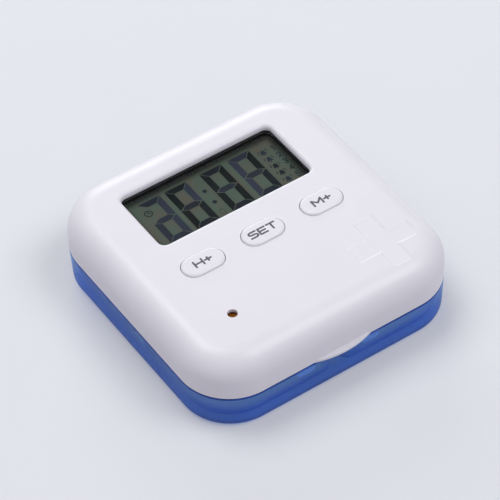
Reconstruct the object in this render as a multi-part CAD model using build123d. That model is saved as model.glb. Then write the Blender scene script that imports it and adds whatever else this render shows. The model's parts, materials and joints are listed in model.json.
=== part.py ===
from build123d import *
import math
import os

# A four-compartment pill box with an electronic timer as its hinged lid, in millimetres.
# The origin is the middle of the flat base, +X runs along the row of buttons,
# -Y is the front with the opening lip, and +Z is up. The lid is shown closed.

# Outside of the closed box
width = 80.0
depth = 80.0
corner_radius = 15.0
tray_height = 10.8
parting_gap = 0.2
lid_height = 12.6
top_round = 7.5
edge_break = 0.3

# Tray
tray_wall = 1.6
tray_floor = 1.6
tray_draft = 2.3
foot_round = 1.6
divider = 1.2
pocket_corner = 4.0
pocket_floor_round = 2.2
rim_break = 0.3
flare_angle = 45.0

# Thumb scoop in the tray, under the lip of the lid
scoop_width = 17.2
scoop_depth = 1.4
scoop_height = 7.4
scoop_run_on = 1.4
lip_width = 16.8
lip_reach = 1.4
lip_thickness = 0.8
lip_round = 0.25

# Hinge at the back, on the parting line
knuckle_radius = 1.9
knuckle_root = 0.8
knuckle_count = 5
hinge_length = 44.0
knuckle_gap = 0.3
relief = 0.3
web_height = 4.2
heel_radius = 2.6
opening_angle = 125.0
heel_margin = 3.0
pin_radius = 0.75
pin_running = 0.05
pin_grip = 0.02
pin_break = 0.15
rail_wall = 1.2
rail_bury = 0.5
rail_height = 3.6
rail_overhang = 1.4

# Shell of the lid
lid_wall = 1.8
window_width = 48.0
window_depth = 21.4
window_y = 17.9
window_corner = 2.0
window_bevel = 1.2
sound_hole = 2.8
sound_roof = 1.0
sound_inset_x = 17.5
sound_inset_y = 17.0
plus_inset_x = 16.4
plus_inset_y = 15.1
plus_span = 19.2
plus_arm = 6.4
plus_depth = 0.35
plus_flare = 60.0

# Buttons and their switches
button_pitch = 18.8
button_y = -4.0
button_length = 12.5
button_width = 7.2
button_gap = 0.15
button_proud = 0.6
button_round = 0.8
button_travel = 0.4
flange_margin = 1.2
flange_thickness = 0.85
flange_play = 0.05
stem_radius = 1.5
stem_length = 0.5
switch_size = 6.0
switch_height = 3.1
switch_corner = 0.4
switch_lead = 1.1
switch_lead_width = 0.7
switch_lead_share = 0.37
plunger_radius = 1.7
plunger_length = 1.0
plunger_play = 0.1

# Display stack under the window
lens_thickness = 1.0
lens_margin = 1.6
frame_lip = 1.0
frame_wall = 1.0
glass_thickness = 1.6
glass_margin = 1.6
glass_play = 0.1
glass_corner = 0.3
zebra_height = 1.3
zebra_width = 2.0
zebra_inset = 1.2
reflector_thickness = 0.25
reflector_corner = 0.5

# Circuit board and what is on it
board_front = -9.5
board_back = 32.3
board_thickness = 1.0
board_corner_cut = 5.0
chip_x = -7.9
chip_radius = 4.5
chip_height = 1.3
chip_slope_height = 0.8
chip_slope_width = 1.5
crystal_x = 7.9
crystal_radius = 1.0
crystal_length = 6.0
crystal_break = 0.2
component_count = 6
component_pitch = 5.0
component_length = 2.0
component_width = 1.2
component_height = 0.6

# Sounder under the sound hole
piezo_radius = 10.0
piezo_thickness = 0.3
ceramic_radius = 7.0
ceramic_thickness = 0.25
seat_height = 0.3
seat_width = 1.4
ring_play = 0.15
ring_wall = 1.0
ring_depth = 1.0
lead_radius = 0.35
lead_spread = 2.5

# Inner cover that closes the lid from below
cover_thickness = 1.4
cover_recess = 0.3
cover_play = 0.15
seal_depth = 1.5
seal_wall = 1.0
seal_play = 0.3
tongue_depth = 5.7
tongue_wall = 1.2
tongue_length = 5.4
tongue_x = 10.2
tongue_round = 1.0

# Screws
cover_screw_inset = 8.2
cover_boss_radius = 2.5
screw_pad = 1.2
screw_well_wall = 1.0
screw_radius = 0.95
screw_head_radius = 1.8
screw_head_height = 1.2
screw_head_slope = 0.5
screw_cross_span = 2.2
screw_cross_width = 0.55
screw_length = 5.5
pilot_play = 0.05
pilot_spare = 0.5
head_play = 0.3
board_screw_inset = 2.3
board_screw_front = -6.5
board_screw_back = 22.0
board_boss_radius = 2.2
board_boss_play = 0.3
board_screw_length = 3.6

# Coin cell, its cup, contacts and cap
cell_radius = 10.0
cell_height = 3.2
cell_play = 0.3
cell_x = 12.0
cell_inset_y = 16.2
cell_step = 0.5
cell_shoulder = 1.2
cup_wall = 1.2
cap_radius = 11.4
cap_play = 0.25
cap_face_play = 0.1
cap_lug_reach = 1.4
cap_lug_height = 0.8
cap_lug_angle = 24.0
cap_lug_count = 3
cap_turn = 40.0
cap_bay_spare = 6.0
cap_ring_outer = 0.9
cap_ring_inner = 0.8
coin_slot_length = 14.0
coin_slot_width = 2.0
coin_slot_depth = 0.7
contact_thickness = 0.25
contact_width = 4.0
contact_overlap = 1.8
contact_curl = 0.5

# Heights that follow from the sizes above
lid_bottom = tray_height + parting_gap
lid_top = lid_bottom + lid_height
ceiling = lid_top - lid_wall
frame_top = ceiling - lens_thickness
glass_top = frame_top - frame_lip
glass_bottom = glass_top - glass_thickness
board_top = glass_bottom - zebra_height
board_bottom = board_top - board_thickness
cover_bottom = lid_bottom + cover_recess
cover_top = cover_bottom + cover_thickness
cover_boss_bottom = cover_top + screw_pad
hinge_y = depth / 2
hinge_z = tray_height + parting_gap / 2
sound_ceiling = lid_top - sound_roof
disc_top = sound_ceiling - seat_height
ceramic_top = disc_top - piezo_thickness
flange_top = ceiling - flange_play
flange_bottom = flange_top - flange_thickness
switch_top = board_top + switch_height
plunger_top = flange_bottom - stem_length
cell_bottom = cover_top + cap_face_play
cell_top = cell_bottom + cell_height
screw_seat = cover_bottom + screw_head_height + head_play
pilot_radius = screw_radius + pilot_play

# The board reaches past both ends of the display frame, for the posts of its screws
frame_half = window_width / 2 + glass_margin + glass_play + frame_wall
board_width = 2 * (frame_half + board_boss_play + board_boss_radius + board_screw_inset)

# Places that keep their distance from the walls
sound_x = sound_inset_x - width / 2
sound_y = sound_inset_y - depth / 2
plus_x = width / 2 - plus_inset_x
plus_y = plus_inset_y - depth / 2
cell_y = cell_inset_y - depth / 2

# Solids that are joined run this far into each other, and a cut starts this far outside
weld = 0.01
clear_cut = 1.0


def block(x0, x1, y0, y1, z0, z1):
    """A block between two corners."""
    return Pos((x0 + x1) / 2, (y0 + y1) / 2, (z0 + z1) / 2) * Box(x1 - x0, y1 - y0, z1 - z0)


def rod(radius, z0, z1, x=0.0, y=0.0):
    """An upright cylinder between two heights."""
    return Pos(x, y, (z0 + z1) / 2) * Cylinder(radius, z1 - z0)


def rod_x(radius, x0, x1, y, z):
    """A cylinder along X."""
    return Pos((x0 + x1) / 2, y, z) * Rot(0, 90, 0) * Cylinder(radius, x1 - x0)


def tube(outer, inner, z0, z1, x=0.0, y=0.0):
    """An upright ring."""
    return rod(outer, z0, z1, x, y) - rod(inner, z0 - clear_cut, z1 + clear_cut, x, y)


def plate(x_size, y_size, radius, z0, z1, x=0.0, y=0.0):
    """A rounded rectangle between two heights."""
    return Pos(x, y, z0) * extrude(RectangleRounded(x_size, y_size, radius), z1 - z0)


def outline(inset):
    """The plan of the box, drawn in by an inset."""
    return RectangleRounded(width - 2 * inset, depth - 2 * inset, corner_radius - inset)


def body_plate(inset, z0, z1):
    """The plan of the box, drawn in by an inset, between two heights."""
    return Pos(0, 0, z0) * extrude(outline(inset), z1 - z0)


def arc_radius(chord, sagitta):
    """The radius of an arc from its chord and its height."""
    return (chord ** 2 / 4 + sagitta ** 2) / (2 * sagitta)


def draft_at(z):
    """How far the tray's outside has drawn in at a height below its rim."""
    return (tray_height - z) * math.tan(math.radians(tray_draft))


def top_edges(part):
    """The edges around the highest face."""
    return part.faces().sort_by(Axis.Z)[-1].edges()


def bottom_edges(part):
    """The edges around the lowest face."""
    return part.faces().sort_by(Axis.Z)[0].edges()


def knuckle_spans(first):
    """The X range of every second knuckle, from the one numbered first."""
    pitch = hinge_length / knuckle_count
    for index in range(first, knuckle_count, 2):
        x0 = index * pitch - hinge_length / 2
        yield x0 + knuckle_gap / 2, x0 + pitch - knuckle_gap / 2


def profile_along_x(sketch, x0, x1):
    """A profile drawn in Y and Z, carried along X."""
    return extrude(Plane.YZ.offset(x0) * sketch, x1 - x0)


def hinge_point(reach, rise):
    """A point of a profile, given from the hinge axis."""
    return hinge_y + reach, hinge_z + rise


def knuckle(x0, x1, side, heel):
    """A barrel with the web that joins it to its wall, above the axis for side +1 and below for -1.

    The heel has a flat that lands on the tray's wall at the end of the opening.
    """
    root = -min(tray_wall, lid_wall) * knuckle_root
    web = [hinge_point(root, 0)]
    if heel:
        angle = math.radians(180 - opening_angle - heel_margin)
        web.append(hinge_point(0, 0))
        web.append(hinge_point(heel_radius * math.sin(angle), heel_radius * math.cos(angle)))
    else:
        web.append(hinge_point(knuckle_radius, 0))
    web.append(hinge_point(0, side * web_height))
    web.append(hinge_point(root, side * web_height))
    outline = Pos(hinge_y, hinge_z) * Circle(knuckle_radius) + make_face(Polyline(*web, close=True))
    return profile_along_x(outline, x0, x1)


def rail(z0, z1, slope):
    """The thicker band inside a wall behind the hinge, sloped off at the end away from the parting."""
    back = depth / 2 - rail_bury
    front = depth / 2 - knuckle_radius - relief - rail_wall
    half = hinge_length / 2 + rail_overhang
    far, near = (z0, z1) if slope < 0 else (z1, z0)
    run = (back - front) / 2
    points = [(front, near), (back, near), (back, far), (front + run, far), (front, far - slope * run)]
    return profile_along_x(make_face(Polyline(*points, close=True)), -half, half), front, half


def scoop(extra):
    """The space of the thumb scoop, grown by extra for the wall behind it."""
    plan = arc_radius(scoop_width, scoop_depth)
    side = arc_radius(2 * scoop_height, scoop_depth)
    axis_y = -depth / 2 - plan + scoop_depth
    lowest = tray_height - scoop_height * scoop_run_on
    fall = side - math.sqrt(side ** 2 - (tray_height - lowest) ** 2)
    above = tray_height + clear_cut
    top = (plan + extra, above)
    shoulder = (plan + extra, tray_height)
    middle_z = (tray_height + lowest) / 2
    middle_fall = side - math.sqrt(side ** 2 - (tray_height - middle_z) ** 2)
    middle = (plan + extra - middle_fall, middle_z)
    end = (plan + extra - fall, lowest)
    inside = plan / 2
    edge = Polyline((inside, lowest), (inside, above), top, shoulder)
    edge += ThreePointArc(shoulder, middle, end)
    edge += Line(end, (inside, lowest))
    return Pos(0, axis_y, 0) * revolve(Plane.XZ * make_face(edge), Axis.Z)


def pocket_plan(side_x, side_y, z):
    """The plan of one compartment at a height."""
    edge = divider / 2 + draft_at(z)
    quarter = Pos(side_x * (edge + width / 4), side_y * (edge + depth / 4))
    sketch = outline(tray_wall + draft_at(z)) & quarter * Rectangle(width / 2, depth / 2)
    near = [v for v in sketch.vertices() if min(abs(v.X), abs(v.Y)) < edge + weld]
    return Pos(0, 0, z) * fillet(near, pocket_corner + draft_at(tray_floor) - draft_at(z))


def pocket(side_x, side_y):
    """The space of one compartment: walls with draft, a rounded floor and a flare at the rim."""
    floor = pocket_plan(side_x, side_y, tray_floor)
    space = extrude(floor, tray_height - tray_floor, taper=-tray_draft)
    space = fillet(bottom_edges(space), pocket_floor_round)
    neck = pocket_plan(side_x, side_y, tray_height - rim_break)
    return space + extrude(neck, rim_break + weld, taper=-flare_angle)


def make_tray():
    """The translucent tray: drafted outside, four rounded compartments, scoop, rail and outer knuckles."""
    body = extrude(outline(draft_at(0)), tray_height, taper=-tray_draft)
    body = fillet(bottom_edges(body), foot_round)
    body = chamfer(top_edges(body), edge_break / 2)
    band, _, _ = rail(tray_height - rail_height, tray_height, -1)
    behind_scoop = scoop(tray_wall)
    for side_x in (-1, 1):
        for side_y in (-1, 1):
            body -= pocket(side_x, side_y) - behind_scoop - band
    body -= scoop(0)
    for x0, x1 in knuckle_spans(0):
        body += knuckle(x0, x1, -1, False)
    for x0, x1 in knuckle_spans(1):
        body -= rod_x(knuckle_radius + relief, x0 - knuckle_gap, x1 + knuckle_gap, hinge_y, hinge_z)
    length = hinge_length / 2 + clear_cut
    body -= rod_x(pin_radius + pin_grip, -length, length, hinge_y, hinge_z)
    return body


def make_hinge_pin():
    """The steel pin through the five knuckles."""
    half = hinge_length / 2 - knuckle_gap / 2
    pin = rod_x(pin_radius, -half, half, hinge_y, hinge_z)
    ends = pin.edges().filter_by(GeomType.CIRCLE)
    return chamfer(ends, pin_break)


def screw_places():
    """The four places of the cover screws."""
    for x in (-1, 1):
        for y in (-1, 1):
            yield x * (width / 2 - cover_screw_inset), y * (depth / 2 - cover_screw_inset)


def board_screw_places():
    """The four places of the board screws."""
    x = board_width / 2 - board_screw_inset
    for side in (-1, 1):
        for y in (board_screw_front, board_screw_back):
            yield side * x, y


def button_places():
    """The name and X of each button."""
    for index, name in enumerate(("hour", "mode", "minute")):
        yield name, (index - 1) * button_pitch


def plus_sign():
    """The plain plus sign sunk in the lid's corner, with sloped sides."""
    slope = plus_depth * math.tan(math.radians(plus_flare))
    span, arm = plus_span - 2 * slope, plus_arm - 2 * slope
    floor = Rectangle(span, arm) + Rectangle(arm, span)
    height = plus_depth + weld
    return Pos(plus_x, plus_y, lid_top - plus_depth) * extrude(floor, height, taper=-plus_flare)


def make_top_housing():
    """The white shell: roof with window, button holes and sound hole, bosses, lip and inner knuckles."""
    solid = body_plate(0, lid_bottom, lid_top)
    solid = fillet(top_edges(solid), top_round)
    solid = chamfer(bottom_edges(solid), edge_break)
    hollow = body_plate(lid_wall, lid_bottom, ceiling)
    hollow = fillet(top_edges(hollow), top_round - lid_wall)
    body = solid - hollow

    lip_radius = arc_radius(lip_width, lip_reach)
    lip_y = -depth / 2 - lip_reach + lip_radius
    lip = rod(lip_radius, lid_bottom, lid_bottom + lip_thickness, 0, lip_y)
    lip = fillet(top_edges(lip), lip_round)
    body += lip & block(-width / 4, width / 4, -depth, -depth / 2 + lid_wall / 2, 0, lid_top)

    below, above = ceiling - clear_cut, lid_top + clear_cut
    body -= plate(window_width, window_depth, window_corner, below, above, 0, window_y)
    rim = body.edges().filter_by_position(Axis.Z, lid_top - weld, lid_top + weld)
    rim = [e for e in rim if abs(e.center().X) < window_width / 2 + weld]
    body = fillet([e for e in rim if abs(e.center().Y - window_y) < window_depth / 2 + weld], window_bevel)
    body -= rod(sound_hole / 2, below, above, sound_x, sound_y)
    body -= plus_sign()

    for name, x in button_places():
        hole = SlotOverall(button_length + 2 * button_gap, button_width + 2 * button_gap)
        body -= Pos(x, button_y, below) * extrude(hole, above - below)

    for x, y in screw_places():
        body += rod(cover_boss_radius, cover_boss_bottom, ceiling + lid_wall / 2, x, y) & solid
        body -= rod(pilot_radius, cover_boss_bottom - clear_cut, cover_boss_bottom + screw_length, x, y)
    for x, y in board_screw_places():
        body += rod(board_boss_radius, board_top, ceiling + lid_wall / 2, x, y)
        body -= rod(pilot_radius, board_top - clear_cut, board_top + board_screw_length, x, y)

    ring = piezo_radius + ring_play
    inner = ring - seat_width
    body += tube(ring + ring_wall, ring, ceiling - ring_depth, ceiling + weld, sound_x, sound_y)
    body -= rod(ring, below, sound_ceiling, sound_x, sound_y)
    body += tube(ring + weld, inner, disc_top, sound_ceiling + weld, sound_x, sound_y)

    band, _, _ = rail(lid_bottom, lid_bottom + rail_height, 1)
    body += band
    for x0, x1 in knuckle_spans(1):
        body += knuckle(x0, x1, 1, True)
    for x0, x1 in knuckle_spans(0):
        body -= rod_x(knuckle_radius + relief, x0 - knuckle_gap, x1 + knuckle_gap, hinge_y, hinge_z)
    length = hinge_length / 2 + clear_cut
    body -= rod_x(pin_radius + pin_running, -length, length, hinge_y, hinge_z)
    return body


def make_display_lens():
    """The clear flat window, bonded under the housing's opening."""
    x_size = window_width + 2 * lens_margin
    y_size = window_depth + 2 * lens_margin
    return plate(x_size, y_size, window_corner, frame_top, ceiling, 0, window_y)


def glass_size():
    """The plan size of the display glass."""
    return window_width + 2 * glass_margin, window_depth + 2 * glass_margin


def make_display_frame():
    """The black frame: a lip the size of the window over a pocket for the glass and the rubber strips."""
    x_size, y_size = glass_size()
    pocket_x = x_size + 2 * glass_play
    pocket_y = y_size + 2 * glass_play
    wall = 2 * frame_wall
    outer = plate(pocket_x + wall, pocket_y + wall, frame_wall, board_top, frame_top, 0, window_y)
    below, above = board_top - clear_cut, frame_top + clear_cut
    pocket = plate(pocket_x, pocket_y, glass_corner, below, glass_top, 0, window_y)
    opening = plate(window_width, window_depth, window_corner, below, above, 0, window_y)
    return outer - pocket - opening


def make_display_glass():
    """The liquid crystal cell: two glass plates, the lower one longer at the back and front for its contacts."""
    x_size, y_size = glass_size()
    half = glass_thickness / 2
    middle = glass_bottom + half
    lower = plate(x_size, y_size, glass_corner, glass_bottom, middle, 0, window_y)
    upper = plate(x_size, y_size - zebra_width, glass_corner, middle, glass_top, 0, window_y)
    return lower + upper


def zebra_offset():
    """How far each rubber strip is from the middle of the window."""
    return glass_size()[1] / 2 - zebra_inset - zebra_width / 2


def make_zebra_strips():
    """The two conductive rubber strips between the board and the glass."""
    half = window_width / 2
    strips = []
    for side in (-1, 1):
        y = window_y + side * zebra_offset()
        strips.append(block(-half, half, y - zebra_width / 2, y + zebra_width / 2, board_top, glass_bottom))
    return Compound(children=strips)


def make_reflector():
    """The reflecting sheet on the back of the glass, between the strips."""
    y_size = 2 * zebra_offset() - zebra_width - 2 * glass_play
    low = glass_bottom - reflector_thickness
    return plate(window_width, y_size, reflector_corner, low, glass_bottom, 0, window_y)


def make_circuit_board():
    """The board, with its rear corners cut to clear the screw posts."""
    half = board_width / 2
    outline = make_face(
        Polyline(
            (-half, board_front),
            (half, board_front),
            (half, board_back - board_corner_cut),
            (half - board_corner_cut, board_back),
            (board_corner_cut - half, board_back),
            (-half, board_back - board_corner_cut),
            close=True,
        )
    )
    board = Pos(0, 0, board_bottom) * extrude(outline, board_thickness)
    for x, y in board_screw_places():
        board -= rod(screw_radius + head_play, board_bottom - clear_cut, board_top + clear_cut, x, y)
    return board


def make_chip_blob():
    """The black resin over the bonded chip, on the board's underside."""
    blob = rod(chip_radius, board_bottom - chip_height, board_bottom, chip_x, window_y)
    return chamfer(bottom_edges(blob), chip_slope_height, chip_slope_width)


def make_quartz_crystal():
    """The watch crystal, lying under the board."""
    place = Pos(crystal_x, window_y - crystal_length, board_bottom - crystal_radius)
    can = place * Rot(90, 0, 0) * Cylinder(crystal_radius, crystal_length)
    return chamfer(can.edges().filter_by(GeomType.CIRCLE), crystal_break)


def make_board_components():
    """A row of small resistors and capacitors under the board."""
    parts = []
    y = board_back - board_corner_cut
    for index in range(component_count):
        x = (index - (component_count - 1) / 2) * component_pitch
        parts.append(
            block(
                x - component_length / 2,
                x + component_length / 2,
                y - component_width / 2,
                y + component_width / 2,
                board_bottom - component_height,
                board_bottom,
            )
        )
    return Compound(children=parts)


def make_switch(x):
    """The body of one tact switch with its four leads, hollow for the plunger."""
    half = switch_size / 2
    body = block(x - half, x + half, button_y - half, button_y + half, board_top, switch_top)
    body = chamfer(body.edges().filter_by(Axis.Z), switch_corner)
    for side in (-1, 1):
        for row in (-1, 1):
            y = button_y + row * switch_size * switch_lead_share
            lead = Pos(x + side * half, y, board_top + contact_thickness / 2)
            body += lead * Box(2 * switch_lead, switch_lead_width, contact_thickness)
    depth_of_hole = plunger_length + button_travel
    low, high = switch_top - depth_of_hole, switch_top + clear_cut
    return body - rod(plunger_radius + plunger_play, low, high, x, button_y)


def make_plunger(x):
    """The round plunger of one switch, which moves with its button."""
    return rod(plunger_radius, switch_top - plunger_length + button_travel, plunger_top, x, button_y)


def make_button(x):
    """One button: a capsule cap with a soft edge, a flange under the roof and a stem on the plunger."""
    cap = SlotOverall(button_length, button_width)
    cap = Pos(x, button_y, flange_top) * extrude(cap, lid_top + button_proud - flange_top)
    cap = fillet(top_edges(cap), button_round)
    flange = SlotOverall(button_length + 2 * flange_margin, button_width + 2 * flange_margin)
    flange = Pos(x, button_y, flange_bottom) * extrude(flange, flange_thickness)
    return cap + flange + rod(stem_radius, plunger_top, flange_bottom, x, button_y)


def make_piezo_disc():
    """The brass disc of the sounder, against its seat under the roof."""
    return rod(piezo_radius, ceramic_top, disc_top, sound_x, sound_y)


def make_piezo_ceramic():
    """The silvered ceramic on the disc."""
    return rod(ceramic_radius, ceramic_top - ceramic_thickness, ceramic_top, sound_x, sound_y)


def make_piezo_leads():
    """The two thin leads from the sounder down to the board's front edge."""
    top = ceramic_top - ceramic_thickness
    leads = []
    for side in (-1, 1):
        x = sound_x + side * lead_spread
        start = (x, sound_y + lead_spread, top)
        end = (x, board_front + 3 * lead_radius, board_top)
        run = Line(start, end)
        lead = extrude(Plane(origin=run @ 0.5, z_dir=run % 0) * Circle(lead_radius), run.length, both=True)
        leads.append(lead & block(x - clear_cut, x + clear_cut, -depth, depth, board_top, top))
    return Compound(children=leads)


def notch():
    """The space that the inner cover leaves for the rails behind the hinge."""
    _, front, half = rail(lid_bottom, lid_bottom + rail_height, 1)
    return block(-half - seal_play, half + seal_play, front - seal_play, depth, 0, lid_top)


def make_inner_cover():
    """The lid's underside: plate, seal rib, tongues, screw wells, cell cup and the cap's keyed opening."""
    inset = lid_wall + cover_play
    cover = body_plate(inset, cover_bottom, cover_top)
    rib_inset = tray_wall + seal_play
    rib = body_plate(rib_inset, cover_bottom - seal_depth, cover_bottom + weld)
    rib -= body_plate(rib_inset + seal_wall, 0, lid_top)
    gap = divider / 2 + pocket_corner
    rib -= block(-gap, gap, 0, depth, 0, cover_bottom)
    front_gap = scoop_width / 2 + seal_play
    rib -= block(-front_gap, front_gap, -depth, 0, 0, cover_bottom)
    rib -= block(-width, width, -gap, gap, 0, cover_bottom)
    cover += rib

    face = depth / 2 - tray_wall - seal_play - math.tan(math.radians(tray_draft)) * tongue_depth
    low = cover_bottom - tongue_depth
    for side in (-1, 1):
        x = side * tongue_x
        half = tongue_length / 2
        tongue = block(x - half, x + half, -face, tongue_wall - face, low, cover_top - weld)
        cover += fillet(tongue.edges().filter_by(Axis.Y).sort_by(Axis.Z)[:2], tongue_round)
    cover -= notch()

    for x, y in screw_places():
        well = screw_head_radius + head_play
        cover += rod(well + screw_well_wall, cover_top - weld, cover_boss_bottom, x, y)
        cover -= rod(well, cover_bottom - seal_depth, screw_seat, x, y)
        cover -= rod(screw_radius + head_play, cover_bottom, cover_boss_bottom + clear_cut, x, y)

    lug_radius = cap_radius + cap_lug_reach
    bay_radius = lug_radius + cell_play
    bay_top = cover_top + cap_lug_height + 2 * cap_face_play
    cup_inner = cell_radius + cell_play
    cup = tube(bay_radius + cup_wall, bay_radius, cover_top - weld, bay_top, cell_x, cell_y)
    cup += tube(bay_radius + cup_wall, cup_inner, bay_top, cell_top - contact_thickness, cell_x, cell_y)
    x0, x1, touch = positive_contact_place()
    cup -= block(x0 - cell_play, x1 + cell_play, touch - cell_play, board_front, cell_bottom, cell_top)
    cover += cup
    low, high = cover_bottom - clear_cut, cover_top + weld
    cover -= rod(cap_radius + cap_play, low, high, cell_x, cell_y)
    for index in range(cap_lug_count):
        start = index * 360 / cap_lug_count + cap_turn
        spread = cap_lug_angle + cap_bay_spare
        cover -= lug(start, bay_radius - cap_face_play, spread, low, high)
    return cover


def lug(angle, radius, spread, z0, z1):
    """A sector about the cap's axis, centred on an angle, out to a radius."""
    reach = 2 * radius
    points = [(0, 0)]
    for side in (-0.5, 0.5):
        turn = math.radians(angle + side * spread)
        points.append((reach * math.cos(turn), reach * math.sin(turn)))
    sketch = make_face(Polyline(*points, close=True)) & Circle(radius)
    return Pos(cell_x, cell_y, z0) * extrude(sketch, z1 - z0)


def make_battery_cap():
    """The round cap flush in the inner cover, with a coin slot and three lugs above the cover's lip."""
    cap = rod(cap_radius, cover_bottom, cover_top, cell_x, cell_y)
    cap = chamfer(bottom_edges(cap), edge_break)
    top = cover_top + cap_face_play
    for index in range(cap_lug_count):
        start = index * 360 / cap_lug_count
        arm = lug(start, cap_radius + cap_lug_reach, cap_lug_angle, top, top + cap_lug_height)
        root = lug(start, cap_radius, cap_lug_angle, cover_top - weld, top + cap_lug_height)
        clear = rod(cell_radius + cell_play, cover_top, cell_top, cell_x, cell_y)
        cap += (arm + root) - clear
    outer, inner = cell_radius * cap_ring_outer, cell_radius * cap_ring_inner
    cap += tube(outer, inner, cover_top - weld, cell_bottom, cell_x, cell_y)
    slot = extrude(SlotOverall(coin_slot_length, coin_slot_width), coin_slot_depth + clear_cut)
    return cap - Pos(cell_x, cell_y, cover_bottom - clear_cut) * slot


def make_coin_cell():
    """The lithium coin cell: the wide can below, the narrower cup above."""
    shoulder = cell_top - cell_step
    can = rod(cell_radius, cell_bottom, shoulder, cell_x, cell_y)
    can = chamfer(bottom_edges(can), edge_break)
    return can + rod(cell_radius - cell_shoulder, shoulder - weld, cell_top, cell_x, cell_y)


def strip(points, thickness, x0, x1):
    """A bent strip: a line in Y and Z, given a thickness above it and carried along X."""
    upper = [(y, z + thickness) for y, z in reversed(points)]
    return profile_along_x(make_face(Polyline(*points, *upper, close=True)), x0, x1)


def make_negative_contact():
    """The spring leaf from the board down onto the middle of the cell."""
    points = [
        (cell_y - contact_width / 2, cell_top + contact_curl),
        (cell_y, cell_top),
        (board_front - contact_curl, board_top),
        (board_front + contact_overlap, board_top),
    ]
    return strip(points, contact_thickness, cell_x - contact_width / 2, cell_x + contact_width / 2)


def positive_contact_place():
    """The X range of the side contact, and the Y where it touches the can."""
    x1 = cell_x - contact_width
    x0 = x1 - contact_width
    touch = cell_y + math.sqrt(cell_radius ** 2 - (cell_x - x1) ** 2)
    return x0, x1, touch


def make_positive_contact():
    """The leaf from the board down through the cup's slot, against the side of the can."""
    x0, x1, touch = positive_contact_place()
    low = cell_bottom + cell_height / 4
    leg = block(x0, x1, touch, touch + contact_thickness, low, board_top + contact_thickness)
    foot = block(x0, x1, touch, board_front + contact_overlap, board_top, board_top + contact_thickness)
    return leg + foot


def screw(x, y, seat, length):
    """A pan-head screw driven upwards, with its head under the seat."""
    head = rod(screw_head_radius, seat - screw_head_height, seat, x, y)
    head = chamfer(bottom_edges(head), screw_head_slope)
    for turn in (0, 90):
        arm = Box(screw_cross_span, screw_cross_width, screw_head_height)
        head -= Pos(x, y, seat - screw_head_height) * Rot(0, 0, turn) * arm
    return head + rod(screw_radius, seat - weld, seat + length, x, y)


def make_cover_screws():
    """The four screws that hold the inner cover."""
    length = cover_boss_bottom - screw_seat + screw_length - pilot_spare
    return Compound(children=[screw(x, y, screw_seat, length) for x, y in screw_places()])


def make_board_screws():
    """The four screws that hold the board."""
    length = board_thickness + board_screw_length - pilot_spare
    return Compound(children=[screw(x, y, board_bottom, length) for x, y in board_screw_places()])


PARTS = {
    "tray": make_tray,
    "hinge_pin": make_hinge_pin,
    "top_housing": make_top_housing,
    "display_lens": make_display_lens,
    "display_frame": make_display_frame,
    "display_glass": make_display_glass,
    "display_reflector": make_reflector,
    "zebra_strips": make_zebra_strips,
    "circuit_board": make_circuit_board,
    "chip_blob": make_chip_blob,
    "quartz_crystal": make_quartz_crystal,
    "board_components": make_board_components,
    "piezo_disc": make_piezo_disc,
    "piezo_ceramic": make_piezo_ceramic,
    "piezo_leads": make_piezo_leads,
    "inner_cover": make_inner_cover,
    "battery_cap": make_battery_cap,
    "coin_cell": make_coin_cell,
    "negative_contact": make_negative_contact,
    "positive_contact": make_positive_contact,
    "cover_screws": make_cover_screws,
    "board_screws": make_board_screws,
}

os.makedirs("parts", exist_ok=True)
for node, make in PARTS.items():
    export_step(make(), f"parts/{node}.step")
for name, x in button_places():
    export_step(make_switch(x), f"parts/{name}_switch.step")
    export_step(make_plunger(x), f"parts/{name}_plunger.step")
    export_step(make_button(x), f"parts/{name}_button.step")
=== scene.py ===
"""Looks of a pill box with alarm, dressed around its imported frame.

The blue tray, the white timer lid, the buttons and everything inside them come from the frame and get
their finishes here. New pieces are the printing on the buttons and the figures of the display. Sizes in
the classes are millimetres, and MM turns them to the frame's metres.
"""
import json
import logging
import math
from dataclasses import dataclass, field
from enum import Enum

import bpy
import numpy as np
from mathutils import Matrix, Vector

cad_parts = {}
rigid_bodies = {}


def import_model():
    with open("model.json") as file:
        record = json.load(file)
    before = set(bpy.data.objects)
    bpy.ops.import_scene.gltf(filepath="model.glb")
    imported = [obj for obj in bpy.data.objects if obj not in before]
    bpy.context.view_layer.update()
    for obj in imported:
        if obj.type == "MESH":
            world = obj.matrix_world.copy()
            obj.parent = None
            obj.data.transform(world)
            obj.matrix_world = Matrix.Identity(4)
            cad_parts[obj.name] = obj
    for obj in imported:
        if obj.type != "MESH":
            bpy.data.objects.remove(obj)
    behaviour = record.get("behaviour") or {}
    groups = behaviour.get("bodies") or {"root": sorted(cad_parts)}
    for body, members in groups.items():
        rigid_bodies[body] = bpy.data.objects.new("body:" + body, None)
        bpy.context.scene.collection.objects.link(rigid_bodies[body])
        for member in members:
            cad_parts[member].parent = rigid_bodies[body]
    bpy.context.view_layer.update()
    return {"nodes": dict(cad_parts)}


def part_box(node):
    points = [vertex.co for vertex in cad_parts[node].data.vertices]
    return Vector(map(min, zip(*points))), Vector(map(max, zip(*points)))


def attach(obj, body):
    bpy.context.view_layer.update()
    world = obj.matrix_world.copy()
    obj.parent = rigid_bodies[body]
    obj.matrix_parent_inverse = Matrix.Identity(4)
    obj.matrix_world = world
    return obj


MM = 0.001
# A mottle's noise stays mostly inside its span, and a grain's noise is plainer
MOTTLE_DETAIL = 3.0
MOTTLE_ROUGHNESS = 0.55
MOTTLE_SPAN = (0.3, 0.7)
GRAIN_DETAIL = 2.0
GRAIN_ROUGHNESS = 0.5
# Specular level of a face that hardly shines
DULL = 0.2
# Points on the round end of a stroke, runs around a dot, and the space between letters by their height
ROUND_END = 7
DOT_RUNS = 20
LETTER_GAP = 0.34
# The attribute that tells how weakly a mark of the display is driven
WEAKNESS = "weakness"
# Tops of the pads in one piece step down by this many millimetres, and start again after so many pads
PAD_STEP = 0.0002
PAD_STEPS = 40
log = logging.getLogger("pill_box")


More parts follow.
